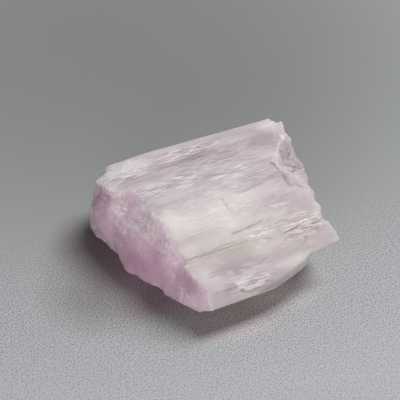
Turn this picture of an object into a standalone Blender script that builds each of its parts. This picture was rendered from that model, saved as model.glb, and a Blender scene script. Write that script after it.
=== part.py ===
"""A rough kunzite crystal, the pink variety of spodumene: one broken length of a flat blade.

The blade lies on a cleavage face. Its c axis, the way its striations run, is the X axis. Both ends are
fractures. It grew as three laths that stand side by side and end at different lengths.
"""

import random
from collections import namedtuple
from math import floor

import bmesh
import bpy
from mathutils import Vector, noise

MM = 0.001

# Driving dimensions: the blade along its c axis, across it, and its thickness.
LENGTH = 39.8 * MM
WIDTH = 38.4 * MM
HEIGHT = 13.5 * MM

# Growth ledges run along c on the prism faces. Each is a strip that stands proud or lies low.
LEDGE_COUNT = 15
LEDGE_HEIGHT = 0.26 * MM
LEDGE_EDGE = 0.12 * MM
LEDGE_TAPER = 2.5 * MM
LEDGE_SEED = 11

# The fractured ends: broad lumps, steps that run across the blade, and a finer grain.
LUMP_DEPTH = 0.42 * MM
LUMP_SIZE = 5.5 * MM
STEP_DEPTH = 0.45 * MM
STEP_LENGTH = 7.5 * MM
STEP_WIDTH = 3.2 * MM
GRAIN_DEPTH = 0.20 * MM
GRAIN_SIZE = 1.9 * MM

# The height over which the relief fades in above the flat underside.
FLAT_BASE = 0.4 * MM

# A face is a point on it, as shares of length, width and height, and the way it looks.
Face = namedtuple("Face", "point outward")

# The main lath: the top with its low crest, the flanks and undersides, and the two ends.
BLADE_FACES = {
    "top": Face((0, -0.102, 1), (0, 0.087, 1)),
    "crest": Face((0, -0.102, 0.987), (0, -0.16, 1)),
    "front slope": Face((0, -0.102, 1), (0, -0.413, 1)),
    "front flank": Face((0, -0.305, 0.756), (0, -1, 0.15)),
    "back shoulder, right": Face((-0.126, 0.461, 0.867), (0.03, 0.85, 0.53)),
    "back shoulder, left": Face((-0.126, 0.461, 0.867), (-0.05, 0.85, 0.53)),
    "back flank": Face((0, 0.5, 0.593), (0, 0.86, -0.5)),
    "back underside": Face((0, 0.391, 0.1), (0, 0.42, -0.9)),
    "left end": Face((-0.464, 0.029, 0.111), (-1, -0.07, 0.02)),
    "left end, front": Face((-0.422, -0.145, 0.185), (-1, -0.3, 0.163)),
    "left end, upper": Face((-0.45, 0.372, 0.867), (-1, 0, 0.3)),
    "left back corner": Face((-0.421, 0.402, 0.867), (-0.69, 0.72, 0.25)),
    "left underside": Face((-0.48, 0.203, 0.081), (-0.558, -0.082, -0.826)),
    "left underside, front": Face((-0.397, -0.266, 0.207), (-0.558, -0.205, -0.804)),
    "front underside": Face((0.133, -0.452, 0.444), (0.331, -0.672, -0.662)),
    "front underside, right": Face((0.274, -0.435, 0.541), (0.089, -0.659, -0.747)),
    "right end": Face((0.501, 0.247, 0.667), (1, 0, 0.05)),
    "right end, front": Face((0.462, 0.073, 0.593), (0.957, -0.29, 0.06)),
    "right underside": Face((0.47, 0, 0.363), (0.8, -0.1, -0.6)),
}

# The second lath, in front, lies a little lower and thins to an edge clear of the ground.
LATH_FACES = {
    "top": Face((0, -0.297, 0.741), (0, -0.33, 1)),
    "slope": Face((0, -0.378, 0.665), (0, -0.48, 0.88)),
    "brow": Face((0, -0.487, 0.437), (0, -0.82, 0.57)),
    "underside": Face((-0.181, -0.51, 0.37), (0, -0.612, -0.791)),
    "underside, right": Face((0.06, -0.492, 0.393), (0.266, -0.664, -0.699)),
    "front, right": Face((0.013, -0.497, 0.385), (0.26, -0.965, 0.05)),
    "right end": Face((0.201, -0.44, 0.519), (0.95, -0.3, 0)),
    "left end": Face((-0.42, -0.145, 0.185), (-1, -0.31, 0.15)),
    "left underside": Face((-0.354, -0.445, 0.274), (-0.512, -0.308, -0.802)),
    "inside the blade": Face((0, -0.219, 0.5), (0, 1, 0)),
}

# The third lath is a thin tongue beside the right end of the second.
TONGUE_FACES = {
    "top": Face((0, -0.305, 0.719), (0, -0.42, 1)),
    "front": Face((0.339, -0.421, 0.578), (0.1, -0.98, 0.1)),
    "underside": Face((0.274, -0.436, 0.548), (0.095, -0.655, -0.75)),
    "tip": Face((0.351, -0.328, 0.667), (0.95, 0.3, 0.2)),
    "tip underside": Face((0.334, -0.328, 0.437), (0.6, -0.1, -0.8)),
    "inside the blade": Face((0, -0.219, 0.5), (0, 1, 0)),
    "inside the second lath": Face((0.05, -0.299, 0.5), (-1, 0, 0)),
}

# Scars are what broke away. Each is the solid that is missing, bounded by the faces given.
SCARS = {
    "right_top_corner": (
        Face((0.465, 0.417, 0.848), (-0.25, 0.003, -0.968)),
        Face((0.46, 0.417, 0.852), (-0.95, 0.31, 0)),
    ),
    "right_shelf_back": (
        Face((0.402, 0.232, 0.918), (-0.66, 0.461, -0.592)),
        Face((0.302, 0.065, 0.933), (0.35, -0.94, 0)),
    ),
    "right_shelf_front": (
        Face((0.294, 0.031, 0.93), (-0.565, 0.008, -0.825)),
        Face((0.294, 0.031, 0.926), (-0.98, -0.15, 0)),
        Face((0.284, -0.109, 0.926), (-0.54, -0.84, 0)),
        Face((0.307, 0.104, 0.926), (-0.3, 0.95, 0)),
    ),
    "right_front_corner": (
        Face((0.347, -0.154, 0.667), (-1, 0, 0.15)),
        Face((0.359, -0.161, 0.667), (-0.84, 0.55, 0.1)),
    ),
    "left_chamfer_back": (
        Face((-0.337, 0.13, 0.953), (0.825, -0.1, -1)),
        Face((-0.341, 0.197, 0.933), (0.44, 0.9, 0.1)),
    ),
    "left_chamfer_front": (
        Face((-0.334, -0.102, 1), (1.255, 0.476, -1)),
    ),
    "under_left_knob": (
        Face((-0.442, 0.336, 0.793), (-0.2, 0.1, 1)),
        Face((-0.44, 0.336, 0.689), (0.85, 0.05, -0.53)),
        Face((-0.452, 0.25, 0.667), (0.4, -0.92, 0.1)),
    ),
    "front_chip": (
        Face((0.013, -0.488, 0.37), (-0.12, 0.99, -0.15)),
        Face((-0.095, -0.469, 0.37), (-0.9, 0.2, 0)),
    ),
    "cleavage_step": (
        Face((0.02, -0.271, 0.785), (0, 0.36, -1)),
        Face((0, -0.242, 0.8), (0, 1, 0)),
        Face((-0.06, -0.25, 0.8), (-0.95, 0.3, 0)),
        Face((0.111, -0.25, 0.8), (0.8, -0.6, 0)),
    ),
}

# Pits and shell-shaped bites: the centre as shares of the box, and the half size of each.
BITES = {
    "top_pit": ((-0.013, 0.294, 0.941), (2.9 * MM, 0.7 * MM, 0.85 * MM)),
    "left_low": ((-0.515, 0.219, 0.104), (1.9 * MM, 2.4 * MM, 1.8 * MM)),
    "back_shoulder": ((-0.121, 0.51, 0.896), (5.0 * MM, 1.8 * MM, 1.4 * MM)),
    "back_flank": ((0.126, 0.531, 0.422), (4.0 * MM, 2.4 * MM, 3.0 * MM)),
    "right_middle": ((0.525, 0.083, 0.326), (2.2 * MM, 3.4 * MM, 2.6 * MM)),
    "under_tongue": ((0.226, -0.341, 0.163), (3.5 * MM, 2.5 * MM, 2.0 * MM)),
}

# The uncut blocks reach past the crystal by this factor. The laths' start above the ground, and what is
# cut away starts below it.
SURROUND = 1.4
LATH_BASE = 0.02 * HEIGHT
CUT_BASE = -0.1 * HEIGHT

# The relief needs closely spaced vertices: the pitch of the cuts along each axis, and the distance
# within which a cut takes a vertex that is already there.
PITCH_X = 2.0 * MM
PITCH_Y = 1.05 * MM
PITCH_Z = 1.3 * MM
SNAP = 0.06 * MM

CRYSTAL_COLOUR = (0.58, 0.46, 0.53, 1.0)
CRYSTAL_ROUGHNESS = 0.3
CRYSTAL_IOR = 1.66
SHARP_ANGLE = 0.5


def place(share):
    """A point given as shares of the blade's length, width and height."""
    return Vector((share[0] * LENGTH, share[1] * WIDTH, share[2] * HEIGHT))


def clear_scene():
    for obj in list(bpy.data.objects):
        bpy.data.objects.remove(obj)


def new_collection(name):
    collection = bpy.data.collections.new(name)
    bpy.context.scene.collection.children.link(collection)
    return collection


def new_object(name, bm, collection):
    mesh = bpy.data.meshes.new(name)
    bm.to_mesh(mesh)
    bm.free()
    obj = bpy.data.objects.new(name, mesh)
    collection.objects.link(obj)
    return obj


def new_cutter(name, bm, collection):
    cutter = new_object(name, bm, collection)
    cutter.hide_render = True
    cutter.display_type = "WIRE"
    return cutter


def everything(bm):
    return bm.verts[:] + bm.edges[:] + bm.faces[:]


def faced_block(faces, base=0.0):
    """A block round the whole crystal from the height base upwards, cut back to each face in turn."""
    bm = bmesh.new()
    bmesh.ops.create_cube(bm, size=1.0)
    top = HEIGHT * SURROUND
    size = Vector((LENGTH * SURROUND, WIDTH * SURROUND, top - base))
    bmesh.ops.scale(bm, vec=size, verts=bm.verts[:])
    bmesh.ops.translate(bm, vec=(0, 0, (top + base) / 2), verts=bm.verts[:])
    for face in faces:
        bmesh.ops.bisect_plane(
            bm,
            geom=everything(bm),
            plane_co=place(face.point),
            plane_no=Vector(face.outward),
            clear_outer=True,
        )
        rim = [edge for edge in bm.edges if edge.is_boundary]
        bmesh.ops.holes_fill(bm, edges=rim)
    bmesh.ops.recalc_face_normals(bm, faces=bm.faces[:])
    return bm


def bite(centre, half_size):
    """A lumpy ball, which leaves a shell-shaped hollow where it cuts a face."""
    bm = bmesh.new()
    bmesh.ops.create_icosphere(bm, subdivisions=2, radius=1.0)
    for vert in bm.verts:
        vert.co *= 1 + 0.12 * noise.noise(vert.co * 1.7 + Vector(centre) * 9)
    bmesh.ops.scale(bm, vec=half_size, verts=bm.verts[:])
    bmesh.ops.translate(bm, vec=place(centre), verts=bm.verts[:])
    return bm


def combine(target, tool, operation):
    """Joins tool to target, or cuts it away, and makes the result target's own mesh."""
    modifier = target.modifiers.new("combine", "BOOLEAN")
    modifier.operation = operation
    modifier.object = tool
    graph = bpy.context.evaluated_depsgraph_get()
    mesh = bpy.data.meshes.new_from_object(target.evaluated_get(graph))
    target.modifiers.clear()
    target.data = mesh


def broken_blade(parts, cutters):
    """The three laths joined, with the scars and bites taken away."""
    blade = new_object("kunzite_crystal", faced_block(BLADE_FACES.values()), parts)
    for name, faces in (("second_lath", LATH_FACES), ("tongue", TONGUE_FACES)):
        lath = new_cutter(name, faced_block(faces.values(), LATH_BASE), cutters)
        combine(blade, lath, "UNION")
    for name, faces in SCARS.items():
        scar = new_cutter(name, faced_block(faces, CUT_BASE), cutters)
        combine(blade, scar, "DIFFERENCE")
    for name, (centre, half_size) in BITES.items():
        hollow = new_cutter(name, bite(centre, half_size), cutters)
        combine(blade, hollow, "DIFFERENCE")
    return blade


Ledge = namedtuple("Ledge", "low high start end height")


def growth_ledges():
    """Strips across the width that stand proud or low, each over part of the length."""
    rng = random.Random(LEDGE_SEED)
    ledges = []
    for step in range(LEDGE_COUNT):
        middle = WIDTH * (-0.46 + 0.92 * (step + rng.uniform(0.2, 0.8)) / LEDGE_COUNT)
        half = rng.uniform(0.3, 1.0) * MM
        start = LENGTH * rng.uniform(-0.70, 0.05)
        end = start + LENGTH * rng.uniform(0.35, 0.80)
        height = LEDGE_HEIGHT * rng.choice((-1, 1)) * rng.uniform(0.4, 1.0)
        ledges.append(Ledge(middle - half, middle + half, start, end, height))
    return ledges


def ramp(value, low, high):
    """0 below low, 1 above high and a smooth rise between."""
    share = min(max((value - low) / (high - low), 0.0), 1.0)
    return share * share * (3 - 2 * share)


def ledge_rise(point, ledges):
    rise = 0.0
    for ledge in ledges:
        across = ramp(point.y, ledge.low - LEDGE_EDGE, ledge.low)
        across *= 1 - ramp(point.y, ledge.high, ledge.high + LEDGE_EDGE)
        along = ramp(point.x, ledge.start, ledge.start + LEDGE_TAPER)
        along *= 1 - ramp(point.x, ledge.end - LEDGE_TAPER, ledge.end)
        rise += ledge.height * across * along
    return rise


def stair(value):
    """Turns a smooth slope into level treads with short rises between them."""
    tread = floor(value)
    return tread + ramp(value - tread, 0.35, 0.65)


def fracture_rise(point):
    """Rounded lumps with creases between them, stepped plates and a finer grain."""
    lump = abs(noise.noise(point / LUMP_SIZE)) * 2 - 0.5
    plate = Vector((point.x / STEP_WIDTH, point.y / STEP_LENGTH, point.z / STEP_WIDTH))
    step = stair(noise.noise(plate + Vector((2, 9, 4))) * 3) / 2
    grain = noise.noise(point / GRAIN_SIZE + Vector((7, 3, 5)))
    return LUMP_DEPTH * lump + STEP_DEPTH * step + GRAIN_DEPTH * grain


def slice_positions(low, high, pitch):
    count = round((high - low) / pitch)
    return [low + (high - low) * step / count for step in range(1, count)]


def slice_across(bm, axis, positions):
    """Cuts the surface along planes square to the axis, so that the relief has vertices to move."""
    normal = Vector((0, 0, 0))
    normal[axis] = 1
    for position in positions:
        bmesh.ops.bisect_plane(
            bm,
            geom=everything(bm),
            dist=SNAP,
            plane_co=normal * position,
            plane_no=normal,
        )


def add_relief(blade):
    """Gives the prism faces their growth ledges and the ends their lumpy fracture."""
    bm = bmesh.new()
    bm.from_mesh(blade.data)
    bmesh.ops.remove_doubles(bm, verts=bm.verts[:], dist=SNAP)
    ledges = growth_ledges()
    borders = []
    for ledge in ledges:
        borders += [ledge.low - LEDGE_EDGE, ledge.low, ledge.high, ledge.high + LEDGE_EDGE]
    slice_across(bm, 0, slice_positions(-LENGTH / 2, LENGTH / 2, PITCH_X))
    slice_across(bm, 1, slice_positions(-WIDTH / 2, WIDTH / 2, PITCH_Y) + borders)
    slice_across(bm, 2, slice_positions(0, HEIGHT, PITCH_Z))
    bm.normal_update()
    moves = []
    for vert in bm.verts:
        end = ramp(abs(vert.normal.x), 0.30, 0.65)
        rise = (1 - end) * ledge_rise(vert.co, ledges) + end * fracture_rise(vert.co)
        moves.append(vert.normal * rise * ramp(vert.co.z, 0, FLAT_BASE))
    for vert, move in zip(bm.verts, moves):
        vert.co += move
    bmesh.ops.triangulate(bm, faces=bm.faces[:])
    bm.to_mesh(blade.data)
    bm.free()


def stand_on_origin(blade):
    """Puts the middle of the box's underside on the origin."""
    points = [vert.co for vert in blade.data.vertices]
    low = Vector([min(point[axis] for point in points) for axis in range(3)])
    high = Vector([max(point[axis] for point in points) for axis in range(3)])
    middle = (low + high) / 2
    for point in points:
        point -= Vector((middle.x, middle.y, low.z))


def crystal_material():
    material = bpy.data.materials.new("kunzite")
    material.use_nodes = True
    shader = material.node_tree.nodes["Principled BSDF"]
    shader.inputs["Base Color"].default_value = CRYSTAL_COLOUR
    shader.inputs["Roughness"].default_value = CRYSTAL_ROUGHNESS
    shader.inputs["Metallic"].default_value = 0.0
    shader.inputs["IOR"].default_value = CRYSTAL_IOR
    return material


def main():
    clear_scene()
    parts = new_collection("kunzite crystal")
    cutters = new_collection("cutters")
    blade = broken_blade(parts, cutters)
    add_relief(blade)
    stand_on_origin(blade)
    blade.data.materials.clear()
    blade.data.materials.append(crystal_material())
    blade.data.set_sharp_from_angle(angle=SHARP_ANGLE)


main()
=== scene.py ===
"""A rough kunzite crystal on a plain floor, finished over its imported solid.

Lengths are in metres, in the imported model's frame. +X runs along the crystal's grooves and +Z is up.
"""

from collections import namedtuple
from math import cos, floor, radians, sin

import bmesh
import bpy
from bpy.props import FloatProperty, FloatVectorProperty, IntProperty, PointerProperty
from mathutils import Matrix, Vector, noise


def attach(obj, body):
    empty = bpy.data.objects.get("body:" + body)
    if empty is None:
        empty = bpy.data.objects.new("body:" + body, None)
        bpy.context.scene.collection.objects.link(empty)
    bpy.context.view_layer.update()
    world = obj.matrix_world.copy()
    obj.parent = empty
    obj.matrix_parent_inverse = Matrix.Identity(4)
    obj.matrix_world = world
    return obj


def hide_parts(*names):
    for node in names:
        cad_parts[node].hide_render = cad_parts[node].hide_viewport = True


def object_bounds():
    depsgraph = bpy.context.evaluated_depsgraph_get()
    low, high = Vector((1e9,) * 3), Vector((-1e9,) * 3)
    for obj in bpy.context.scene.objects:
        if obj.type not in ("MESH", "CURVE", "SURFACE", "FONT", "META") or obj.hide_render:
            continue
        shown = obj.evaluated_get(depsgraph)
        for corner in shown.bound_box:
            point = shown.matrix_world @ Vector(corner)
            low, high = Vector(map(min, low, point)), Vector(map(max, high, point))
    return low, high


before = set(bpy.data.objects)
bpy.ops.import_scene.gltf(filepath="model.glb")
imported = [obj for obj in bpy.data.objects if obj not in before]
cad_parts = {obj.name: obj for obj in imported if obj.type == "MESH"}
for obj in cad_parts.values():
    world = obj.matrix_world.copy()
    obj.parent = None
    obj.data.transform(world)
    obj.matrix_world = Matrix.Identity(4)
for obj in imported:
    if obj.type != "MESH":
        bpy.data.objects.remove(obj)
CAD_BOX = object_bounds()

bl_info = {
    "name": "Rough Kunzite Crystal",
    "version": (1, 0, 0),
    "blender": (4, 5, 0),
    "location": "3D View > Sidebar > Kunzite",
    "description": "Finishes a rough kunzite crystal and sets it on a plain floor",
    "category": "Add Mesh",
}

MM = 0.001
NODE = "kunzite_crystal"
BODY = "root"

# The camera looks at a point inside the crystal, behind its middle. Each light stands at an azimuth and
# an elevation round the crystal, and has a width and a height.
CAMERA_TARGET = Vector((-1.21, 6.95, 6.0)) * MM
CAMERA_NEAR = 0.01
LIGHT_DISTANCE = 0.6
KEY_ANGLES = (radians(106), radians(57))
KEY_SIZE = (0.28, 0.45)
FILL_ANGLES = (radians(-35), radians(11))
FILL_SIZE = (0.4, 0.2)

# The floor's colour holds a painted falloff of light: it is darkest round this point behind the crystal,
# and grows lighter away from it, slowly at first and faster later. Its specks show from the near distance
# on, and fully from the far one.
FLOOR_HALF_WIDTH = 3.0
FLOOR_DARK = (20 * MM, 70 * MM, 0.0)
FLOOR_REACH = 0.110
FLOOR_CURVE = 2.3
FLOOR_LIGHT = (0.48, 0.49, 0.515, 1.0)
FLOOR_ROUGHNESS = 0.75
SPECK_NEAR, SPECK_FAR = 0.065, 0.095
SPECK_STRENGTH = 6.5

# Painted shade and painted light in the floor's colour: darker beside the crystal's left end, and pink
# and pale in front of it. Each tint has a middle, a reach along X, along Y and along Z, in millimetres,
# and the colour that multiplies the floor's. It is whole up to the first share of its reach, and gone
# from the second on.
Tint = namedtuple("Tint", "middle reach colour")
TINT_WHOLE, TINT_GONE = 0.3, 1.3

FLOOR_PAINTED_LIGHT_AND_SHADE = (
    Tint((-20.0, 9.0, 0.0), (7.0, 10.0, 10.0), (0.60, 0.50, 0.52, 1.0)),
    Tint((-28.0, -2.0, 0.0), (7.0, 9.0, 10.0), (0.74, 0.70, 0.71, 1.0)),
    Tint((-18.5, 1.0, 0.0), (5.0, 5.0, 10.0), (1.22, 0.96, 1.04, 1.0)),
    Tint((-17.0, -7.5, 0.0), (6.0, 5.0, 10.0), (0.85, 0.66, 0.70, 1.0)),
    Tint((4.0, -15.6, 0.0), (7.0, 4.2, 10.0), (1.65, 1.52, 1.47, 1.0)),
    Tint((-8.0, -18.5, 0.0), (8.0, 4.5, 10.0), (1.30, 1.12, 1.10, 1.0)),
)

# The CAD mesh comes in as loose triangles; corners this close are one.
WELD = 0.005 * MM

# A mark on the crystal: its middle and its half size along X, along Y and along Z, in millimetres, how
# strong it is, and how ragged its edge is. It is whole up to the first share of its half size, and gone
# from the second on, and past the limit it isn't looked for. Its rags are this long along X and this wide
# across it, in millimetres, and move its edge by a share of its half size, times how ragged it is.
Mark = namedtuple("Mark", "middle half strength ragged")
MARK_WHOLE, MARK_GONE = 0.25, 1.1
MARK_LIMIT = 2
RAG_LENGTH, RAG_WIDTH = 1.6, 0.35
RAG_DEPTH = 1.2

# A line on the crystal: the points it runs through and its half width, in millimetres, and its strength.
# It is whole up to the first share of its half width, and gone from the second on. It wavers by so many
# millimetres in bends of this size, and the seed makes it waver in the same way each run. A gap along
# the surface's normal counts less, by the last share.
Line = namedtuple("Line", "points width strength")
LINE_WHOLE, LINE_GONE = 0.4, 1.5
LINE_MARGIN = 1.0
WAVER, WAVER_SIZE = 0.25, 0.8
WAVER_SEED = 1
NORMAL_SHARE = 0.8

# A push moves the surface round its middle. It fades to nothing at its reach, all in millimetres.
Push = namedtuple("Push", "middle reach move")

# The rim of the left end runs along Y at this X, and wavers a little. In front of the bend it turns
# inwards by the slope, and round the back it steps outwards. A white knob stands on it there, smoother
# than the break, from its foot up.
RIM_X = -14.3 * MM
RIM_BEND = -10.0 * MM
RIM_SLOPE = 0.26
RIM_BACK = 9.0 * MM
RIM_STEP = 3 * MM
RIM_BLEND = 1 * MM
RIM_WAVER, RIM_WAVER_SIZE = 0.4 * MM, 0.9 * MM
RIM_EDGE = (-0.1 * MM, 0.3 * MM)
KNOB_FOOT, KNOB_TOP = 9.4 * MM, 10.4 * MM
KNOB_SMOOTH = 0.8

# Any other surface is broken where it faces along X: not yet at the first share of its normal, and
# wholly from the second on.
END_TILT = (0.30, 0.60)

# The wear. A long face's normal has less than this share along X, and a vertex moves this much of the
# way to its neighbours each time. A place is rounded where its mark is stronger than the last number.
LONG_FACE_TILT = 0.25
NOT_UNDERSIDE, TOP_SIDE = -0.9, 0.35
SMOOTH_SHARE = 0.5
ROUNDED_FROM = 0.3

# The streaks of the relief, each with its length along X and its width across it. The fine ones are a
# share of the width and the depth of the others. In some zones the grooves are quieter. Flakes and
# plates stand in steps, each with a short rise in its middle.
GROOVE_LENGTH, FINE_GROOVE_LENGTH = 38 * MM, 15 * MM
FINE_SHARE = 0.45
FINE_DEPTH = 0.6
ZONE_LENGTH, ZONE_WIDTH = 26 * MM, 5 * MM
ZONE_EDGE = (-0.25, 0.3)
QUIET_ZONE = 0.35
FLAKE_LENGTH, FLAKE_WIDTH = 8 * MM, 2.1 * MM
PLATE_SHARE = 2.6
STEPS = 4
STEP_RISE = (0.38, 0.62)

# The right end is rougher than the left one, which is calmer where its pink is deep. All relief dies
# out between these heights, towards the floor.
RIGHT_ROUGHNESS, LEFT_ROUGHNESS = 1.6, 1.3
DEEP_CALM = 0.8
FOOT = (0.05 * MM, 0.5 * MM)

# Pushes that bring the outline to its notches, its knob and its corners.
PUSHES = (
    Push((-18.9, 15.0, 8.0), 3.4, (1.1, -0.2, 0.0)),
    Push((-19.8, 14.5, 3.5), 4.5, (0.9, 0.0, 0.0)),
    Push((-18.3, 14.8, 8.7), 2.0, (1.0, 0.0, 0.0)),
    Push((-18.3, 14.5, 11.0), 2.0, (-0.7, 0.0, 0.2)),
    Push((-17.4, 17.4, 10.6), 3.4, (0.7, -0.5, -0.3)),
    Push((-19.4, 8.0, 5.5), 3.0, (-0.3, 0.0, 0.0)),
    Push((-18.5, 1.2, 1.2), 4.0, (-0.9, -0.4, 0.0)),
    Push((-18.0, -2.2, 1.2), 4.0, (-1.0, -0.5, 0.0)),
    Push((13.7, -11.6, 10.3), 1.9, (-0.9, 0.2, 0.0)),
    Push((13.3, -15.2, 8.2), 2.4, (0.9, -0.3, 0.0)),
    Push((19.4, 16.8, 11.4), 2.0, (-0.6, -0.6, -0.6)),
    Push((19.4, 12.9, 11.0), 2.2, (-0.5, 0.0, 0.0)),
)

# Milky white patches, where the crystal is full of fine open cleavage cracks.
VEILS = (
    Mark((-4.5, -4.5, 12.8), (11.5, 8.0, 3.0), 0.56, 0.3),
    Mark((-12.3, -4.8, 12.9), (2.8, 4.5, 2.0), 1.0, 0.3),
    Mark((-16.6, 6.6, 10.2), (1.8, 3.0, 1.6), 0.7, 0.4),
    Mark((-15.8, -1.5, 11.4), (2.2, 8.0, 2.6), 1.0, 0.3),
    Mark((-10.0, -6.0, 12.6), (3.4, 3.4, 1.2), 1.0, 0.4),
    Mark((-4.3, -5.0, 13.1), (2.6, 1.0, 0.8), 1.0, 0.6),
    Mark((-11.0, 14.4, 11.9), (5.5, 2.6, 1.8), 1.0, 0.8),
    Mark((-8.5, 2.2, 12.9), (6.0, 2.4, 1.4), 0.6, 0.5),
    Mark((-16.5, 14.6, 11.8), (2.4, 2.4, 2.4), 0.9, 0.7),
    Mark((3.0, 2.4, 13.0), (3.2, 1.0, 0.8), 1.0, 0.8),
    Mark((-5.7, 3.9, 12.8), (2.4, 0.7, 0.8), 1.0, 0.6),
    Mark((0.7, 8.0, 12.5), (1.4, 0.5, 0.6), 1.0, 0.5),
    Mark((-10.8, 6.6, 12.3), (3.0, 1.2, 0.8), 0.8, 0.9),
    Mark((16.5, 14.5, 11.9), (2.8, 1.3, 1.2), 0.9, 0.6),
    Mark((-0.3, -13.1, 9.5), (1.0, 0.6, 0.5), 1.0, 0.6),
    Mark((1.4, -12.1, 10.1), (0.9, 0.4, 0.5), 1.0, 0.6),
    Mark((9.3, -13.3, 9.0), (1.8, 0.6, 0.5), 1.0, 0.6),
    Mark((11.6, -11.3, 10.7), (1.0, 0.9, 0.6), 1.0, 0.5),
    Mark((6.0, -17.0, 7.6), (4.5, 1.8, 1.2), 0.6, 0.4),
    Mark((-10.5, -15.5, 8.5), (3.0, 3.5, 2.0), 0.5, 0.6),
)

# Places where the crystal is clear and its own pink shows. The large ones over the right half are also
# painted shade there.
WINDOWS = (
    Mark((-5.0, -14.6, 8.8), (6.5, 3.2, 2.5), 1.0, 0.5),
    Mark((0.0, 11.0, 12.0), (19.0, 5.5, 3.0), 0.6, 0.3),
    Mark((13.0, 11.0, 12.0), (8.0, 6.0, 3.0), 0.65, 0.3),
    Mark((-1.9, 9.3, 12.3), (2.4, 1.2, 1.0), 0.9, 0.6),
    Mark((-5.5, 9.5, 12.2), (3.0, 2.0, 1.0), 0.5, 0.5),
    Mark((0.5, 4.6, 12.8), (3.0, 1.0, 1.0), 0.7, 0.6),
    Mark((3.2, -2.6, 13.4), (2.6, 0.5, 0.6), 0.7, 0.7),
    Mark((12.0, -5.0, 12.0), (9.0, 9.0, 4.0), 0.9, 0.3),
    Mark((10.0, -13.0, 9.5), (9.0, 5.0, 4.0), 0.8, 0.3),
    Mark((-5.0, -17.0, 7.0), (11.0, 3.5, 3.0), 0.45, 0.5),
    Mark((0.0, -19.0, 5.4), (5.0, 1.0, 1.0), 0.7, 0.4),
)

# Places where short thin flakes stand open; their bright dashes are painted highlights.
FLAKES = (
    Mark((-11.5, 5.6, 12.4), (4.5, 2.6, 1.6), 1.0, 0.3),
    Mark((-6.0, 6.0, 12.5), (6.0, 2.6, 1.6), 1.0, 0.4),
    Mark((3.5, 4.0, 12.8), (6.0, 2.2, 1.4), 0.9, 0.4),
    Mark((-1.0, 14.0, 12.0), (9.0, 2.2, 1.6), 0.8, 0.4),
    Mark((-13.0, 12.2, 12.0), (6.0, 2.6, 1.6), 0.8, 0.4),
    Mark((2.0, 8.5, 12.4), (14.0, 6.0, 2.0), 0.3, 0.6),
    Mark((-1.0, -0.5, 13.0), (14.0, 4.0, 2.0), 0.4, 0.5),
    Mark((-4.0, -6.0, 12.6), (10.0, 5.0, 2.0), 0.25, 0.5),
    Mark((9.0, -11.5, 10.0), (7.0, 3.0, 2.0), 0.6, 0.5),
    Mark((-4.0, -17.8, 6.8), (6.0, 2.0, 1.5), 0.7, 0.5),
    Mark((1.4, -11.4, 10.5), (3.5, 1.8, 1.4), 0.7, 0.5),
)

# Places where the break is splintery: a finer bump and a lower roughness, and bright specks that are
# painted sparkle.
SPARKS = (
    Mark((-16.5, 6.6, 10.1), (2.1, 4.0, 2.2), 1.0, 0.5),
    Mark((-15.8, -1.6, 11.6), (1.7, 3.6, 2.0), 0.9, 0.6),
    Mark((-15.2, -6.2, 10.9), (1.6, 3.0, 1.8), 0.8, 0.6),
    Mark((-17.6, 12.6, 11.6), (2.6, 3.2, 2.0), 0.9, 0.3),
    Mark((-12.0, 14.2, 11.9), (5.0, 2.4, 1.8), 0.7, 0.5),
    Mark((16.5, 5.5, 10.5), (3.5, 7.0, 3.0), 0.25, 0.4),
    Mark((-18.9, 2.1, 6.4), (1.6, 3.6, 1.6), 0.4, 0.6),
    Mark((-17.0, 1.6, 9.4), (1.4, 2.0, 1.6), 0.4, 0.4),
)

# Places where the crystal is rounded off.
SMOOTHS = (
    Mark((-15.6, 8.6, 11.0), (3.4, 3.0, 3.0), 1.0, 0.0),
    Mark((-18.8, 11.0, 7.0), (3.2, 5.5, 5.5), 1.0, 0.0),
    Mark((-17.4, 14.6, 11.4), (3.4, 3.6, 3.0), 1.0, 0.0),
    Mark((-17.6, -1.5, 3.5), (3.4, 6.5, 4.0), 1.0, 0.0),
)

# Places where fine cracks run close together along the crystal.
SEAMS = (
    Mark((-7.5, -11.8, 10.3), (8.0, 1.3, 1.2), 0.8, 0.6),
    Mark((0.5, -9.6, 11.1), (6.0, 1.2, 1.0), 0.7, 0.6),
    Mark((5.0, -11.3, 10.6), (8.0, 2.0, 1.4), 0.8, 0.6),
    Mark((9.0, -13.0, 9.6), (4.5, 1.8, 1.4), 1.0, 0.4),
    Mark((-1.0, 8.0, 12.4), (18.0, 5.0, 2.0), 0.5, 0.8),
    Mark((8.0, 3.0, 13.0), (8.0, 4.0, 2.0), 0.35, 0.8),
    Mark((-3.0, -16.0, 7.5), (9.0, 3.0, 2.5), 0.4, 0.8),
)

# Places where the crystal is stained a faint yellow.
WARMS = (
    Mark((-3.0, -12.4, 10.0), (13.0, 3.0, 2.5), 0.8, 0.4),
    Mark((9.0, -11.8, 10.3), (7.0, 4.0, 3.0), 0.8, 0.4),
    Mark((8.0, -15.5, 8.0), (6.0, 3.0, 2.5), 0.5, 0.4),
    Mark((-9.0, -9.0, 11.5), (7.0, 3.5, 2.0), 0.5, 0.5),
    Mark((-17.4, 13.2, 11.8), (2.0, 2.4, 1.6), 0.8, 0.4),
)
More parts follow.
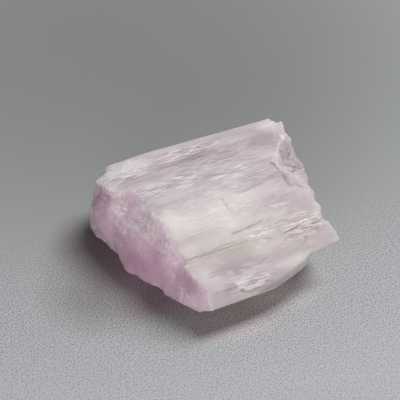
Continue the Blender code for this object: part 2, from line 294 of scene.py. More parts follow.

# Painted shade: places that look down into the crystal's own shade, and shaded places on its ends, with
# the share of a crack's shade that they hold.
SHADE_SHARE = 0.6
PAINTED_SHADES = (
    Mark((-0.8, 11.7, 12.0), (5.2, 1.3, 1.2), 1.0, 0.6),
    Mark((-2.4, 10.4, 12.2), (2.2, 0.6, 0.8), 0.6, 0.7),
    Mark((0.5, 8.8, 12.4), (2.4, 0.5, 0.6), 0.6, 0.7),
    Mark((4.6, -2.2, 13.4), (2.0, 0.5, 0.6), 0.5, 0.7),
    Mark((11.6, -13.2, 9.5), (1.3, 1.3, 1.2), 0.5, 0.3),
    Mark((5.0, -18.5, 5.0), (8.0, 0.8, 2.0), 0.6, 0.3),
    Mark((17.2, 6.2, 9.4), (3.8, 8.5, 4.0), 0.9, 0.5),
    Mark((9.9, -12.4, 9.8), (2.4, 0.7, 0.8), 0.5, 0.2),
    Mark((-13.8, -13.6, 7.6), (2.0, 6.0, 3.5), 0.6, 0.5),
    Mark((-5.2, -15.6, 8.5), (2.4, 1.2, 1.2), 0.4, 0.8),
)

# The deepest pink of the broken ends: partly their own colour, and partly painted shade low on the left
# end and on the right end's outer band.
DEEPS = (
    Mark((-19.6, 11.5, 5.0), (3.4, 8.0, 6.0), 0.4, 0.15),
    Mark((-17.8, -2.0, 4.5), (4.5, 10.0, 5.5), 0.8, 0.15),
    Mark((-18.6, 2.0, 6.6), (2.4, 6.0, 2.6), 0.6, 0.3),
    Mark((-15.8, -7.0, 7.6), (2.0, 4.5, 2.6), 0.5, 0.3),
    Mark((-15.8, -9.5, 3.5), (3.0, 5.0, 4.5), 0.5, 0.3),
    Mark((-14.2, -12.5, 7.5), (2.2, 5.5, 3.5), 0.4, 0.3),
    Mark((19.0, 6.0, 8.0), (1.8, 6.5, 3.0), 0.6, 0.15),
    Mark((20.0, 5.0, 6.0), (3.5, 8.0, 4.0), 0.8, 0.2),
)

# Open cracks, which hold a little shade and stand lower than the crystal round them.
CRACKS = (
    Line(((-13.6, -11.4, 10.1), (-12.2, -11.6, 10.2), (-8.8, -11.7, 10.1), (-5.1, -11.9, 10.3),
          (-1.7, -11.7, 10.3)), 0.13, 0.55),
    Line(((-7.9, -11.5, 10.5), (-6.3, -11.3, 10.6), (-3.5, -11.3, 10.5)), 0.12, 0.5),
    Line(((-3.6, -9.7, 11.0), (-1.2, -9.6, 11.0), (1.3, -9.3, 11.1), (2.6, -9.1, 11.2)), 0.13, 0.55),
    Line(((5.5, -12.5, 9.9), (6.8, -12.3, 10.0), (8.0, -12.1, 10.1), (9.4, -11.9, 10.3),
          (11.8, -11.9, 10.3)), 0.14, 0.6),
    Line(((4.3, -13.5, 9.4), (5.5, -13.5, 9.4), (6.8, -13.7, 9.3)), 0.14, 0.6),
    Line(((0.9, -12.3, 10.0), (2.7, -12.5, 9.9)), 0.12, 0.5),
    Line(((8.2, -14.8, 8.6), (8.8, -13.7, 9.0)), 0.12, 0.4),
    Line(((-2.0, -3.0, 13.4), (-2.0, -4.1, 13.3), (-1.9, -5.0, 13.0), (-1.7, -5.9, 12.7)), 0.2, 0.5),
    Line(((11.1, 2.8, 12.9), (11.2, 1.5, 13.1), (11.3, -0.1, 13.0), (10.6, -2.4, 13.4),
          (10.4, -3.8, 13.3), (10.8, -4.5, 13.0)), 0.34, 1.0),
    Line(((14.9, 6.6, 11.6), (15.1, 5.8, 10.9), (15.0, 4.9, 10.7)), 0.3, 1.0),
    Line(((14.1, 2.3, 10.7), (14.8, 1.9, 10.2), (16.7, 3.7, 8.8)), 0.3, 1.0),
    Line(((11.7, -4.4, 13.1), (12.1, -5.2, 12.9), (12.6, -5.8, 12.6)), 0.3, 1.0),
    Line(((16.8, 8.5, 11.3), (17.3, 7.9, 9.9), (17.5, 7.4, 9.2)), 0.3, 1.0),
    Line(((5.0, 1.0, 13.1), (9.9, 1.5, 13.1)), 0.14, 0.5),
    Line(((-18.4, 7.2, 9.2), (-18.6, 4.6, 9.0), (-18.4, 2.2, 9.3), (-17.6, -0.2, 9.8),
          (-17.1, -2.4, 9.5), (-16.5, -4.3, 8.8), (-16.1, -7.3, 9.6), (-14.9, -9.6, 10.2)), 0.2, 0.2),
    Line(((-16.6, 4.4, 10.4), (-16.7, 2.0, 10.6), (-16.6, -0.5, 11.0), (-16.5, -2.8, 10.4)), 0.2, 0.16),
    Line(((-7.1, -17.9, 7.0), (-6.1, -18.6, 6.1), (-4.9, -18.9, 5.7), (-3.4, -18.9, 5.7),
          (-2.1, -18.7, 5.9)), 0.2, 0.6),
    Line(((-9.8, -18.0, 6.9), (-7.9, -18.1, 6.8)), 0.14, 0.4),
)

# Thin lips, where the crystal is splintered along an edge: they stand a little higher, and their
# brightness is a painted highlight.
LIPS = (
    Line(((-14.3, 7.9, 12.2), (-14.4, 4.0, 12.1), (-14.5, -0.3, 12.9), (-14.1, -3.4, 13.1),
          (-14.1, -6.1, 12.2), (-14.2, -8.5, 11.1)), 0.3, 0.4),
    Line(((-17.9, 5.3, 9.6), (-18.0, 2.8, 9.7), (-17.2, 0.2, 10.4), (-16.8, -2.1, 10.1),
          (-16.1, -5.0, 9.6)), 0.22, 0.5),
    Line(((5.3, -12.1, 10.1), (7.1, -11.8, 10.3), (9.2, -11.6, 10.5), (11.5, -11.5, 10.6)), 0.14, 0.7),
    Line(((7.9, -7.4, 12.1), (6.8, -7.2, 12.2), (5.3, -7.4, 12.2)), 0.12, 1.0),
    Line(((6.1, -7.7, 12.0), (8.5, -7.6, 12.0)), 0.1, 0.8),
    Line(((-6.9, -17.5, 7.4), (-6.2, -18.3, 6.6), (-5.2, -18.6, 6.2), (-3.6, -18.6, 6.2),
          (-2.4, -18.4, 6.5), (-1.1, -18.2, 6.7)), 0.22, 0.8),
    Line(((-6.7, -17.5, 7.4), (-5.0, -17.8, 7.1)), 0.15, 0.8),
    Line(((12.5, 3.9, 12.1), (12.6, 2.9, 12.2)), 0.45, 1.0),
    Line(((17.6, 10.3, 11.4), (17.5, 10.8, 11.5)), 0.4, 1.0),
    Line(((-4.9, 12.6, 11.9), (-1.9, 13.5, 12.0), (1.8, 13.7, 12.0)), 0.15, 0.8),
)

# What the carving leaves on the mesh for the material, each between 0 and 1.
PATCHES = {
    "deep": DEEPS,
    "veil": VEILS,
    "window": WINDOWS,
    "flake": FLAKES,
    "spark": SPARKS,
    "seam": SEAMS,
    "warm": WARMS,
}
PAINTED = ("pink", *PATCHES, "lip", "crack")

# A noise of the crystal's or the floor's colour: how many cells it has for each metre along each axis,
# its detail and its offset.
Grain = namedtuple("Grain", "scale detail offset")
BANDS = Grain((100, 520, 520), 6, (0, 0, 0))
CLOUDS = Grain((160, 260, 260), 4, (9, 4, 2))
DASHES = Grain((420, 3000, 3000), 2, (3, 1, 7))
SPLINTERS = Grain((2200, 2200, 2200), 2, (5, 8, 1))
HAIRS = Grain((110, 1700, 1700), 2, (7, 7, 3))
SPECKS = Grain((3800, 3800, 3800), 2, (0, 0, 0))
GRAIN_ROUGHNESS = 0.65

# Bright and dark marks are where a grain, which is 0.5 on average, passes from one of these values to
# the other. A hair crack is where it is nearer than this to its average.
GRAIN_AVERAGE = 0.5
BRIGHT_DASH, DARK_DASH = (0.515, 0.55), (0.43, 0.47)
BRIGHT_SPLINTER, DARK_SPLINTER = (0.49, 0.54), (0.43, 0.48)
HAIR_REACH = 0.04

# How strong the bands are where the crystal is clear and where it is milky, and the hair cracks where
# there is no seam and where there is one. The last two are shares of a stain's and a veil's colour.
MILKY_FROM = 0.6
BAND_CLEAR, BAND_MILKY = 0.8, 0.25
HAIR_LEAST, HAIR_MOST = 0.05, 0.9
WARM_SHARE = 0.6
BROKEN_VEIL_SHARE = 0.25

# What the light does at the crystal's surface and inside it.
KUNZITE_IOR = 1.66
BUMP_STRENGTH, BUMP_DEPTH = 0.6, 0.08 * MM
GLOW_RADIUS = (1.0, 0.85, 1.0)
SPARK_GLOW = 0.5

# The numbers of a Mix node's colour sockets.
MIX_FIRST, MIX_SECOND, MIX_RESULT = 6, 7, 2


class CrystalSettings(bpy.types.PropertyGroup):
    """Sizes of the crystal's fine relief, and its colours."""

    grid: FloatProperty(
        name="Grid", description="Spacing of the mesh across the grooves",
        default=0.165 * MM, min=0.1 * MM, max=1.0 * MM, precision=5, unit="LENGTH",
    )
    stretch: FloatProperty(
        name="Stretch", description="How much wider the mesh's spacing is along the grooves",
        default=2.2, min=1.0, max=6.0,
    )
    wear: IntProperty(
        name="Wear", description="How many times the long faces are smoothed",
        default=12, min=0, max=200,
    )
    top_wear: IntProperty(
        name="Top Wear", description="How many times the long faces are smoothed again on top",
        default=60, min=0, max=200,
    )
    end_wear: IntProperty(
        name="End Wear", description="How many times the rounded places of the left end are smoothed",
        default=120, min=0, max=400,
    )
    groove_depth: FloatProperty(
        name="Groove Depth", description="Depth of the fine grooves along the crystal",
        default=0.012 * MM, min=0.0, max=0.5 * MM, precision=5, unit="LENGTH",
    )
    groove_width: FloatProperty(
        name="Groove Width", description="Distance from one fine groove to the next",
        default=0.75 * MM, min=0.2 * MM, max=5.0 * MM, precision=5, unit="LENGTH",
    )
    flake_depth: FloatProperty(
        name="Flake Depth", description="Height of the steps between cleavage flakes",
        default=0.03 * MM, min=0.0, max=0.5 * MM, precision=5, unit="LENGTH",
    )
    hackle_depth: FloatProperty(
        name="Hackle Depth", description="Depth of the rough grain on the broken ends",
        default=0.16 * MM, min=0.0, max=1.0 * MM, precision=5, unit="LENGTH",
    )
    hackle_size: FloatProperty(
        name="Hackle Size", description="Width of one grain on the broken ends",
        default=1.1 * MM, min=0.2 * MM, max=5.0 * MM, precision=5, unit="LENGTH",
    )
    crack_depth: FloatProperty(
        name="Crack Depth", description="Depth of the open cracks",
        default=0.15 * MM, min=0.0, max=1.0 * MM, precision=5, unit="LENGTH",
    )
    lip_height: FloatProperty(
        name="Lip Height", description="Height of the splintered lips",
        default=0.08 * MM, min=0.0, max=1.0 * MM, precision=5, unit="LENGTH",
    )
    pale_colour: FloatVectorProperty(
        name="Pale Colour", description="The clear crystal seen across its grooves",
        subtype="COLOR", size=4, min=0.0, max=1.0, default=(0.48, 0.39, 0.44, 1.0),
    )
    veil_colour: FloatVectorProperty(
        name="Veil Colour", description="The milky crystal seen across its grooves",
        subtype="COLOR", size=4, min=0.0, max=1.0, default=(0.87, 0.80, 0.79, 1.0),
    )
    warm_colour: FloatVectorProperty(
        name="Warm Colour", description="The faint yellow stain",
        subtype="COLOR", size=4, min=0.0, max=1.0, default=(0.60, 0.55, 0.47, 1.0),
    )
    # The broken ends run from the rose colour to the deep colour, lighter above and darker below: partly
    # their own pink, and partly painted light and painted shade.
    rose_colour: FloatVectorProperty(
        name="Rose Colour", description="The upper part of the broken ends",
        subtype="COLOR", size=4, min=0.0, max=1.0, default=(1.0, 0.80, 0.91, 1.0),
    )
    deep_pink_and_shade_colour: FloatVectorProperty(
        name="Deep Colour", description="The lower part of the broken ends",
        subtype="COLOR", size=4, min=0.0, max=1.0, default=(0.58, 0.29, 0.48, 1.0),
    )
    right_blush: FloatProperty(
        name="Right Blush", description="How pink the right end is, next to the left one",
        default=0.35, min=0.0, max=1.0, subtype="FACTOR",
    )
    # The colour of the cracks, and also of the painted shade.
    crack_and_shade_colour: FloatVectorProperty(
        name="Crack Colour", description="The cracks",
        subtype="COLOR", size=4, min=0.0, max=1.0, default=(0.34, 0.28, 0.29, 1.0),
    )
    # The colour of the painted highlights on the lips, the bright dashes and the bright specks.
    painted_glint_colour: FloatVectorProperty(
        name="Glint Colour", description="The lips and the bright specks on the broken ends",
        subtype="COLOR", size=4, min=0.0, max=1.0, default=(1.0, 0.90, 0.95, 1.0),
    )
    absorbed_colour: FloatVectorProperty(
        name="Inner Colour", description="What the clear crystal lets through",
        subtype="COLOR", size=4, min=0.0, max=1.0, default=(0.97, 0.72, 0.90, 1.0),
    )
    absorption: FloatProperty(
        name="Absorption", description="Strength of the inner colour, for each metre",
        default=60.0, min=0.0, max=2000.0,
    )
    clearness: FloatProperty(
        name="Clearness", description="Share of the light that passes into the crystal",
        default=0.20, min=0.0, max=1.0, subtype="FACTOR",
    )
    glow: FloatProperty(
        name="Glow", description="Share of the light that spreads inside the crystal",
        default=0.60, min=0.0, max=1.0, subtype="FACTOR",
    )
    glow_depth: FloatProperty(
        name="Glow Depth", description="How far light spreads inside the crystal",
        default=12.0 * MM, min=0.0, max=50 * MM, precision=5, unit="LENGTH",
    )


class StageSettings(bpy.types.PropertyGroup):
    """The floor, the light and the camera."""

    # The dark end of the floor's painted falloff of light.
    floor_colour: FloatVectorProperty(
        name="Floor Colour", description="Colour of the floor behind the crystal",
        subtype="COLOR", size=4, min=0.0, max=1.0, default=(0.205, 0.213, 0.211, 1.0),
    )
    key_power: FloatProperty(
        name="Key Power", description="Power of the large soft light above, in watts",
        default=3.6, min=0.0, max=100.0,
    )
    fill_power: FloatProperty(
        name="Fill Power", description="Power of the weak low light in front, in watts",
        default=1.85, min=0.0, max=100.0,
    )
    fill_colour: FloatVectorProperty(
        name="Fill Colour", description="Colour of the weak low light in front",
        subtype="COLOR", size=3, min=0.0, max=1.0, default=(1.0, 0.94, 0.90),
    )
    room_strength: FloatProperty(
        name="Room Strength", description="Brightness of the even light from all round",
        default=0.13, min=0.0, max=5.0,
    )
    azimuth: FloatProperty(
        name="Camera Azimuth", description="Turn of the camera round the crystal",
        default=radians(-27), subtype="ANGLE", unit="ROTATION",
    )
    elevation: FloatProperty(
        name="Camera Elevation", description="Height of the camera above the horizon",
        default=radians(38), subtype="ANGLE", unit="ROTATION",
    )
    distance: FloatProperty(
        name="Camera Distance", description="Distance of the camera from what it looks at",
        default=0.30, min=0.05, max=5.0, unit="LENGTH",
    )
    lens: FloatProperty(
        name="Focal Length", description="Focal length of the camera, in millimetres",
        default=150.0, min=10.0, max=500.0,
    )


def ramp(value, low, high):
    """0 below low, 1 above high and a smooth rise between."""
    share = min(max((value - low) / (high - low), 0.0), 1.0)
    return share * share * (3 - 2 * share)


def stair(value):
    """Turns a smooth slope into level treads with short rises between them."""
    tread = floor(value)
    return tread + ramp(value - tread, *STEP_RISE)


def streak(point, length, width, shift=(0, 0, 0)):
    """A noise round 0, in streaks that are this long along X and this wide across it."""
    return noise.noise(Vector((point.x / length, point.y / width, point.z / width)) + Vector(shift))


def groove_rise(point, settings):
    """Fine grooves and long thin cleavage flakes, all drawn out along X."""
    width = settings.groove_width
    broad = streak(point, GROOVE_LENGTH, width)
    sharp = streak(point, FINE_GROOVE_LENGTH, FINE_SHARE * width, (5, 1, 8))
    zone = ramp(streak(point, ZONE_LENGTH, ZONE_WIDTH), *ZONE_EDGE)
    strength = QUIET_ZONE + (1 - QUIET_ZONE) * zone
    step = stair(STEPS * streak(point, FLAKE_LENGTH, FLAKE_WIDTH, (3, 7, 1)))
    grooves = settings.groove_depth * (broad + FINE_DEPTH * sharp) * strength
    return grooves + settings.flake_depth * step / 2


def hackle_rise(point, settings):
    """The broken ends: plates with sharp rims, and a splintery grain."""
    size = settings.hackle_size
    ridge = 1 - 2 * abs(noise.noise(point / size))
    fine = noise.noise(point / (FINE_SHARE * size) + Vector((4, 4, 9)))
    plate = stair(STEPS * noise.noise(point / (PLATE_SHARE * size) + Vector((1, 6, 2))))
    return settings.hackle_depth * (0.5 * ridge + 0.35 * fine + 0.5 * plate)


def mark_strength(point, marks):
    """How strongly a list of marks covers a point."""
    best = 0.0
    here = point / MM
    rag = None
    for middle, half, strength, ragged in marks:
        if any(abs(here[axis] - middle[axis]) > MARK_LIMIT * half[axis] for axis in (0, 1)):
            continue
        reach = sum(((at - mid) / size) ** 2 for at, mid, size in zip(here, middle, half)) ** 0.5
        if rag is None:
            rag = RAG_DEPTH * streak(here, RAG_LENGTH, RAG_WIDTH)
        best = max(best, strength * (1 - ramp(reach + ragged * rag, MARK_WHOLE, MARK_GONE)))
    return best


def straight_runs(lines):
    """The straight runs of a list of lines, each with its middle and how far from there it may reach."""
    runs = []
    for points, width, strength in lines:
        for start, stop in zip(points, points[1:]):
            start, stop = Vector(start), Vector(stop)
            reach = (stop - start).length / 2 + 3 * width + LINE_MARGIN
            runs.append((start, stop - start, width, strength, (start + stop) / 2, reach))
    return runs


def line_strength(point, normal, runs):
    """How strongly a list of straight runs covers a point with this normal."""
    here = point / MM
    here += WAVER * noise.noise_vector(here / WAVER_SIZE)
    best = 0.0
    for start, along, width, strength, middle, reach in runs:
        if (here - middle).length > reach:
            continue
        share = min(max((here - start).dot(along) / along.length_squared, 0.0), 1.0)
        offset = here - start - along * share
        gap = (offset - NORMAL_SHARE * offset.dot(normal) * normal).length
        best = max(best, strength * (1 - ramp(gap, LINE_WHOLE * width, LINE_GONE * width)))
    return best


def remeshed(bm, grid, stretch):
    """The mesh of bm laid out afresh on an even grid, which is wider along X by the factor stretch."""
    bmesh.ops.scale(bm, vec=(1 / stretch, 1, 1), verts=bm.verts[:])
    mesh = bpy.data.meshes.new("rough")
    bm.to_mesh(mesh)
    bm.free()
    rough = bpy.data.objects.new("rough", mesh)
    bpy.context.scene.collection.objects.link(rough)
    remesh = rough.modifiers.new("grid", "REMESH")
    remesh.mode = "VOXEL"
    remesh.voxel_size = grid
    graph = bpy.context.evaluated_depsgraph_get()
    result = bpy.data.meshes.new_from_object(rough.evaluated_get(graph))
    bpy.data.objects.remove(rough)
    bm = bmesh.new()
    bm.from_mesh(result)
    bmesh.ops.scale(bm, vec=(stretch, 1, 1), verts=bm.verts[:])
    return bm


def soften(bm, repeats, least_rise):
    """Wears down the long faces where they look up by least_rise or more, and leaves the ends alone."""
    bm.normal_update()
    long_faces = [vert for vert in bm.verts if abs(vert.normal.x) < LONG_FACE_TILT]
    worn = [vert for vert in long_faces if vert.normal.z > least_rise]
    for _ in range(repeats):
        bmesh.ops.smooth_vert(bm, verts=worn, factor=SMOOTH_SHARE, use_axis_y=True, use_axis_z=True)


def push(bm, pushes):
    """Moves the surface by each push in turn."""
    for middle, reach, move in pushes:
        middle, move = Vector(middle) * MM, Vector(move) * MM
        for vert in bm.verts:
            gap = (vert.co - middle).length / (reach * MM)
            if gap < 1:
                vert.co += move * (1 - gap * gap) ** 2


def round_off(bm, marks, repeats):
    """Smooths the surface inside the marks."""
    rounded = [vert for vert in bm.verts if mark_strength(vert.co, marks) > ROUNDED_FROM]
    for _ in range(repeats):
        bmesh.ops.smooth_vert(
            bm, verts=rounded, factor=SMOOTH_SHARE, use_axis_x=True, use_axis_y=True, use_axis_z=True,
        )


def end_share(point, normal):
    """1 on the broken ends, 0 on the long faces and a little on the knob."""
    back = ramp(point.y, RIM_BACK - RIM_BLEND, RIM_BACK + RIM_BLEND)
    rim = RIM_X + RIM_SLOPE * max(RIM_BEND - point.y, 0.0) - RIM_STEP * back
    past = rim - point.x + RIM_WAVER * noise.noise(point / RIM_WAVER_SIZE)
    end = max(ramp(past, *RIM_EDGE), ramp(abs(normal.x), *END_TILT))
    knob = back * ramp(point.z, KNOB_FOOT, KNOB_TOP) * ramp(-point.x, 0.0, RIM_BLEND)
    return end * (1 - KNOB_SMOOTH * knob)


def carve(bm, settings):
    """Moves the vertices to the crystal's fine relief, and marks the mesh for the material."""
    layers = {name: bm.verts.layers.float.new(name) for name in PAINTED}
    cracks, lips = straight_runs(CRACKS), straight_runs(LIPS)
    noise.seed_set(WAVER_SEED)
    bm.normal_update()
    moves = []
    for vert in bm.verts:
        point = vert.co
        for name, marks in PATCHES.items():
            vert[layers[name]] = mark_strength(point, marks)
        deep = vert[layers["deep"]]
        end = end_share(point, vert.normal)
        rise = 0.0
        if end < 1:
            rise += (1 - end) * groove_rise(point, settings)
        if end > 0:
            roughness = RIGHT_ROUGHNESS if point.x > 0 else LEFT_ROUGHNESS - DEEP_CALM * deep
            rise += end * roughness * hackle_rise(point, settings)
        crack = line_strength(point, vert.normal, cracks)
        lip = line_strength(point, vert.normal, lips)
        rise += lip * settings.lip_height - crack * settings.crack_depth
        vert[layers["pink"]] = end * (1.0 if point.x < 0 else max(deep, settings.right_blush))
        vert[layers["lip"]] = lip
        # The crack layer also holds the painted shade of the shaded places.
        vert[layers["crack"]] = max(crack, SHADE_SHARE * mark_strength(point, PAINTED_SHADES))
        moves.append(vert.normal * rise * ramp(point.z, *FOOT))
    for vert, move in zip(bm.verts, moves):
        vert.co += move


def keep_in_box(bm, low, high):
    """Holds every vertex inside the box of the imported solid."""
    for vert in bm.verts:
        for axis in range(3):
            vert.co[axis] = min(max(vert.co[axis], low[axis]), high[axis])


def connect(tree, value, socket):
    """Links a socket to a value, or sets the value when it is a plain number or colour."""
    if isinstance(value, bpy.types.NodeSocket):
        tree.links.new(value, socket)
    else:
        socket.default_value = value


def make_grain_group():
    """A group that gives a cloudy noise on the object's own coordinates, per metre along each axis."""
    group = bpy.data.node_groups.new("grain", "ShaderNodeTree")
    new = group.interface.new_socket
    new("Scale", in_out="INPUT", socket_type="NodeSocketVector")
    new("Offset", in_out="INPUT", socket_type="NodeSocketVector")
    new("Detail", in_out="INPUT", socket_type="NodeSocketFloat")
    new("Value", in_out="OUTPUT", socket_type="NodeSocketFloat")
    given = group.nodes.new("NodeGroupInput")
    result = group.nodes.new("NodeGroupOutput")
    coordinates = group.nodes.new("ShaderNodeTexCoord")
    mapping = group.nodes.new("ShaderNodeMapping")
    texture = group.nodes.new("ShaderNodeTexNoise")
    texture.inputs["Scale"].default_value = 1.0
    texture.inputs["Roughness"].default_value = GRAIN_ROUGHNESS
    group.links.new(coordinates.outputs["Object"], mapping.inputs["Vector"])
    group.links.new(given.outputs["Scale"], mapping.inputs["Scale"])
    group.links.new(given.outputs["Offset"], mapping.inputs["Location"])
    group.links.new(given.outputs["Detail"], texture.inputs["Detail"])
    group.links.new(mapping.outputs["Vector"], texture.inputs["Vector"])
    group.links.new(texture.outputs["Fac"], result.inputs["Value"])
    return group


def grain(tree, recipe):
    """The noise that a recipe describes, from 0 to 1."""
    node = tree.nodes.new("ShaderNodeGroup")
    node.node_tree = bpy.data.node_groups.get("grain") or make_grain_group()
    node.inputs["Scale"].default_value = recipe.scale
    node.inputs["Offset"].default_value = recipe.offset
    node.inputs["Detail"].default_value = recipe.detail
    return node.outputs["Value"]


def remap(tree, value, low, high, new_low=0.0, new_high=1.0):
    """The value moved from one range to another, and held inside it."""
    node = tree.nodes.new("ShaderNodeMapRange")
    node.inputs["From Min"].default_value = low
    node.inputs["From Max"].default_value = high
    node.inputs["To Min"].default_value = new_low
    node.inputs["To Max"].default_value = new_high
    tree.links.new(value, node.inputs["Value"])
    return node.outputs["Result"]


def centred(tree, recipe):
    """The noise that a recipe describes, from -0.5 to 0.5."""
    return remap(tree, grain(tree, recipe), 0, 1, -0.5, 0.5)


def blend(tree, factor, first, second, way="MIX"):
    """Colour first where factor is 0, and where it is 1, second or what the way makes of the two."""
    node = tree.nodes.new("ShaderNodeMix")
    node.data_type = "RGBA"
    node.blend_type = way
    connect(tree, factor, node.inputs["Factor"])
    connect(tree, first, node.inputs[MIX_FIRST])
    connect(tree, second, node.inputs[MIX_SECOND])
    return node.outputs[MIX_RESULT]


def maths(tree, operation, first, second=0.0, clamp=False):
    """The result of one operation on two numbers."""
    node = tree.nodes.new("ShaderNodeMath")
    node.operation = operation
    node.use_clamp = clamp
    connect(tree, first, node.inputs[0])
    connect(tree, second, node.inputs[1])
    return node.outputs["Value"]


def vector_maths(tree, operation, first, second=(0, 0, 0)):
    """The outputs of one operation on two vectors."""
    node = tree.nodes.new("ShaderNodeVectorMath")
    node.operation = operation
    tree.links.new(first, node.inputs[0])
    node.inputs[1].default_value = second
    return node.outputs


def weighted(tree, start, *terms):
    """start, plus each term's value times its weight, held between 0 and 1."""
    total = start
    for index, (value, weight) in enumerate(terms):
        share = maths(tree, "MULTIPLY", value, weight)
        total = maths(tree, "ADD", total, share, clamp=index == len(terms) - 1)
    return total


def painted(tree, name):
    """The value that the carving left on the mesh under a name."""
    node = tree.nodes.new("ShaderNodeAttribute")
    node.attribute_name = name
    return node.outputs["Fac"]


def crystal_material(settings):
    """Milky lilac crystal: streaked along its grooves, deeper pink at its ends, clear enough to glow,
    with painted highlights and painted shade.
    """
    material = bpy.data.materials.new("kunzite")
    material.use_nodes = True
    tree = material.node_tree
    shader = tree.nodes["Principled BSDF"]
    output = tree.nodes["Material Output"]
    masks = (painted(tree, name) for name in PAINTED)
    pink, deep, veil, window, flake, spark, seam, warm, lip, crack = masks
    band_strength = remap(tree, veil, 0, MILKY_FROM, BAND_CLEAR, BAND_MILKY)
    band = maths(tree, "MULTIPLY", centred(tree, BANDS), band_strength)
    cloud = centred(tree, CLOUDS)
    dash = grain(tree, DASHES)
    # The bright dashes and the bright splinters are painted highlights.
    bright_dash = maths(tree, "MULTIPLY", remap(tree, dash, *BRIGHT_DASH), flake)
    dark_dash = maths(tree, "MULTIPLY", remap(tree, dash, *DARK_DASH, 1, 0), flake)
    splinter = grain(tree, SPLINTERS)
    bright_splinter = maths(tree, "MULTIPLY", remap(tree, splinter, *BRIGHT_SPLINTER), spark)
    dark_splinter = maths(tree, "MULTIPLY", remap(tree, splinter, *DARK_SPLINTER, 1, 0), spark)
    wander = maths(tree, "SUBTRACT", grain(tree, HAIRS), GRAIN_AVERAGE)
    hair = remap(tree, maths(tree, "ABSOLUTE", wander), 0.0, HAIR_REACH, 1, 0)
    hairs = maths(tree, "MULTIPLY", hair, remap(tree, seam, 0, 1, HAIR_LEAST, HAIR_MOST))

    milk = weighted(tree, 0.50, (veil, 0.55), (window, -0.5), (band, 1.0), (cloud, 1.1))
    side = blend(tree, milk, settings.pale_colour, settings.veil_colour)
    side = blend(tree, maths(tree, "MULTIPLY", warm, WARM_SHARE), side, settings.warm_colour)
    # Deeper and darker on the lower parts of the ends: their own pink, and painted shade.
    depth = weighted(tree, 0.22, (deep, 0.70), (cloud, 0.45), (dark_splinter, 0.4))
    broken = blend(tree, depth, settings.rose_colour, settings.deep_pink_and_shade_colour)
    veiled = maths(tree, "MULTIPLY", veil, BROKEN_VEIL_SHARE)
    broken = blend(tree, veiled, broken, settings.veil_colour)
    colour = blend(tree, pink, side, broken)
    # Cracks, hair cracks and dark dashes darken the colour; the crack layer carries painted shade as
    # well.
    shade = weighted(tree, 0.0, (crack, 1.0), (hairs, 0.5), (dark_splinter, 0.04), (dark_dash, 0.45))
    colour = blend(tree, shade, colour, settings.crack_and_shade_colour)
    # Painted highlights: bright specks, bright dashes and lips blend towards the glint colour.
    painted_glint = weighted(tree, 0.0, (bright_splinter, 1.0), (bright_dash, 1.2), (lip, 0.75))
    colour = blend(tree, painted_glint, colour, settings.painted_glint_colour)
    tree.links.new(colour, shader.inputs["Base Color"])

    rough = weighted(tree, 0.60, (band, 0.2), (veil, 0.10), (pink, -0.15), (bright_splinter, -0.2))
    tree.links.new(rough, shader.inputs["Roughness"])

    bump = tree.nodes.new("ShaderNodeBump")
    bump.inputs["Strength"].default_value = BUMP_STRENGTH
    bump.inputs["Distance"].default_value = BUMP_DEPTH
    relief = weighted(tree, 0.4, (band, 0.5), (hairs, -0.4), (bright_dash, 0.5), (bright_splinter, 0.6))
    tree.links.new(relief, bump.inputs["Height"])
    tree.links.new(bump.outputs["Normal"], shader.inputs["Normal"])

    shader.inputs["Metallic"].default_value = 0.0
    shader.inputs["IOR"].default_value = KUNZITE_IOR
    shader.inputs["Transmission Weight"].default_value = settings.clearness
    geometry = tree.nodes.new("ShaderNodeNewGeometry")
    outside = maths(tree, "SUBTRACT", 1.0, geometry.outputs["Backfacing"])
    spread = remap(tree, spark, 0, 1, settings.glow, SPARK_GLOW * settings.glow)
    glow = maths(tree, "MULTIPLY", outside, spread)
    tree.links.new(glow, shader.inputs["Subsurface Weight"])
    shader.inputs["Subsurface Radius"].default_value = GLOW_RADIUS
    shader.inputs["Subsurface Scale"].default_value = settings.glow_depth
    absorption = tree.nodes.new("ShaderNodeVolumeAbsorption")
    absorption.inputs["Color"].default_value = settings.absorbed_colour
    absorption.inputs["Density"].default_value = settings.absorption
    tree.links.new(absorption.outputs["Volume"], output.inputs["Volume"])
    return material


def tinted(tree, place, colour, tint):
    """The colour multiplied by a tint of painted light and shade, which fades out round its middle."""
    offset = vector_maths(tree, "SUBTRACT", place, Vector(tint.middle) * MM)["Vector"]
    squeezed = vector_maths(tree, "DIVIDE", offset, Vector(tint.reach) * MM)["Vector"]
    distance = vector_maths(tree, "LENGTH", squeezed)["Value"]
    share = remap(tree, distance, TINT_WHOLE, TINT_GONE, 1, 0)
    return blend(tree, share, colour, tint.colour, "MULTIPLY")


def floor_material(settings):
    """Cool light grey, with painted light and shade: lighter and speckled away from its darkest point."""
    material = bpy.data.materials.new("floor_grey")
    material.use_nodes = True
    tree = material.node_tree
    shader = tree.nodes["Principled BSDF"]
    place = tree.nodes.new("ShaderNodeTexCoord").outputs["Object"]
    distance = vector_maths(tree, "DISTANCE", place, FLOOR_DARK)["Value"]
    light = maths(tree, "POWER", remap(tree, distance, 0.0, FLOOR_REACH), FLOOR_CURVE)
    speck = maths(tree, "MULTIPLY", centred(tree, SPECKS), remap(tree, distance, SPECK_NEAR, SPECK_FAR))
    shade = weighted(tree, light, (speck, SPECK_STRENGTH))
    colour = blend(tree, shade, settings.floor_colour, FLOOR_LIGHT)
    # Painted shade and painted light beside the crystal.
    for tint in FLOOR_PAINTED_LIGHT_AND_SHADE:
        colour = tinted(tree, place, colour, tint)
    tree.links.new(colour, shader.inputs["Base Color"])
    shader.inputs["Roughness"].default_value = FLOOR_ROUGHNESS
    return material


def around(azimuth, elevation):
    """The direction from the crystal to something that stands at these angles round it."""
    flat = cos(elevation)
    return Vector((sin(azimuth) * flat, -cos(azimuth) * flat, sin(elevation)))


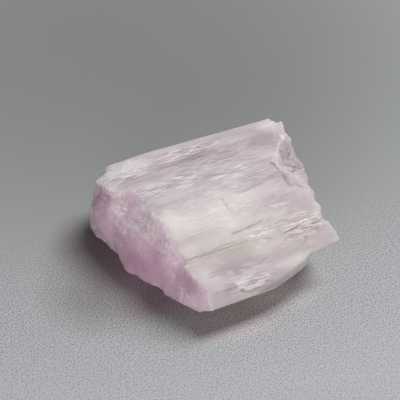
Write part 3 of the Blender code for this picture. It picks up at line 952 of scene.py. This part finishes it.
def aim(thing, place, target):
    """Puts a light or a camera at a place, and turns it towards its target."""
    thing.location = place
    thing.rotation_euler = (Vector(target) - Vector(place)).to_track_quat("-Z", "Y").to_euler()


def soft_light(name, power, size, place, colour=(1, 1, 1)):
    """A wide oval light that shines on the crystal's resting place."""
    light = bpy.data.lights.new(name, "AREA")
    light.shape = "ELLIPSE"
    light.size, light.size_y = size
    light.energy = power
    light.color = colour
    lamp = bpy.data.objects.new(name, light)
    bpy.context.scene.collection.objects.link(lamp)
    aim(lamp, place, (0, 0, 0))


class KUNZITE_OT_crystal(bpy.types.Operator):
    """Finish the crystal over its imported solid"""

    bl_idname = "kunzite.crystal"
    bl_label = "Finish Crystal"

    def execute(self, context):
        settings = context.scene.kunzite_crystal
        bm = bmesh.new()
        bm.from_mesh(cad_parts[NODE].data)
        bmesh.ops.remove_doubles(bm, verts=bm.verts[:], dist=WELD)
        bm = remeshed(bm, settings.grid, settings.stretch)
        soften(bm, settings.wear, NOT_UNDERSIDE)
        soften(bm, settings.top_wear, TOP_SIDE)
        round_off(bm, SMOOTHS, settings.end_wear)
        push(bm, PUSHES)
        carve(bm, settings)
        keep_in_box(bm, *CAD_BOX)
        for face in bm.faces:
            face.smooth = True
        mesh = bpy.data.meshes.new("rough_crystal")
        bm.to_mesh(mesh)
        bm.free()
        mesh.materials.append(crystal_material(settings))
        crystal = bpy.data.objects.new("rough_crystal", mesh)
        context.scene.collection.objects.link(crystal)
        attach(crystal, BODY)
        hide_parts(NODE)
        return {"FINISHED"}


class KUNZITE_OT_stage(bpy.types.Operator):
    """Lay the floor and set up the light and the camera"""

    bl_idname = "kunzite.stage"
    bl_label = "Set Stage"

    def execute(self, context):
        settings = context.scene.kunzite_stage
        scene = context.scene
        bm = bmesh.new()
        bmesh.ops.create_grid(bm, x_segments=1, y_segments=1, size=FLOOR_HALF_WIDTH)
        mesh = bpy.data.meshes.new("floor")
        bm.to_mesh(mesh)
        bm.free()
        mesh.materials.append(floor_material(settings))
        ground = bpy.data.objects.new("floor", mesh)
        scene.collection.objects.link(ground)

        key_place = around(*KEY_ANGLES) * LIGHT_DISTANCE
        fill_place = around(*FILL_ANGLES) * LIGHT_DISTANCE
        soft_light("key", settings.key_power, KEY_SIZE, key_place)
        soft_light("fill", settings.fill_power, FILL_SIZE, fill_place, settings.fill_colour)
        world = bpy.data.worlds.new("soft_light")
        world.use_nodes = True
        background = world.node_tree.nodes["Background"]
        background.inputs["Color"].default_value = (1, 1, 1, 1)
        background.inputs["Strength"].default_value = settings.room_strength
        scene.world = world
        scene.view_settings.view_transform = "Standard"

        camera = bpy.data.objects.new("camera", bpy.data.cameras.new("camera"))
        camera.data.lens = settings.lens
        camera.data.clip_start = CAMERA_NEAR
        scene.collection.objects.link(camera)
        place = CAMERA_TARGET + around(settings.azimuth, settings.elevation) * settings.distance
        aim(camera, place, CAMERA_TARGET)
        scene.camera = camera
        return {"FINISHED"}


class KUNZITE_PT_panel(bpy.types.Panel):
    """Lists the crystal's steps in the sidebar"""

    bl_label = "Kunzite"
    bl_space_type = "VIEW_3D"
    bl_region_type = "UI"
    bl_category = "Kunzite"

    def draw(self, context):
        for settings in (context.scene.kunzite_crystal, context.scene.kunzite_stage):
            box = self.layout.box()
            for name in settings.__annotations__:
                box.prop(settings, name)
        self.layout.operator(KUNZITE_OT_crystal.bl_idname)
        self.layout.operator(KUNZITE_OT_stage.bl_idname)


CLASSES = (CrystalSettings, StageSettings, KUNZITE_OT_crystal, KUNZITE_OT_stage, KUNZITE_PT_panel)


def register():
    for cls in CLASSES:
        bpy.utils.register_class(cls)
    bpy.types.Scene.kunzite_crystal = PointerProperty(type=CrystalSettings)
    bpy.types.Scene.kunzite_stage = PointerProperty(type=StageSettings)


def unregister():
    del bpy.types.Scene.kunzite_stage
    del bpy.types.Scene.kunzite_crystal
    for cls in reversed(CLASSES):
        bpy.utils.unregister_class(cls)


def main():
    register()
    bpy.ops.kunzite.stage()
    bpy.ops.kunzite.crystal()


if __name__ == "__main__":
    main()
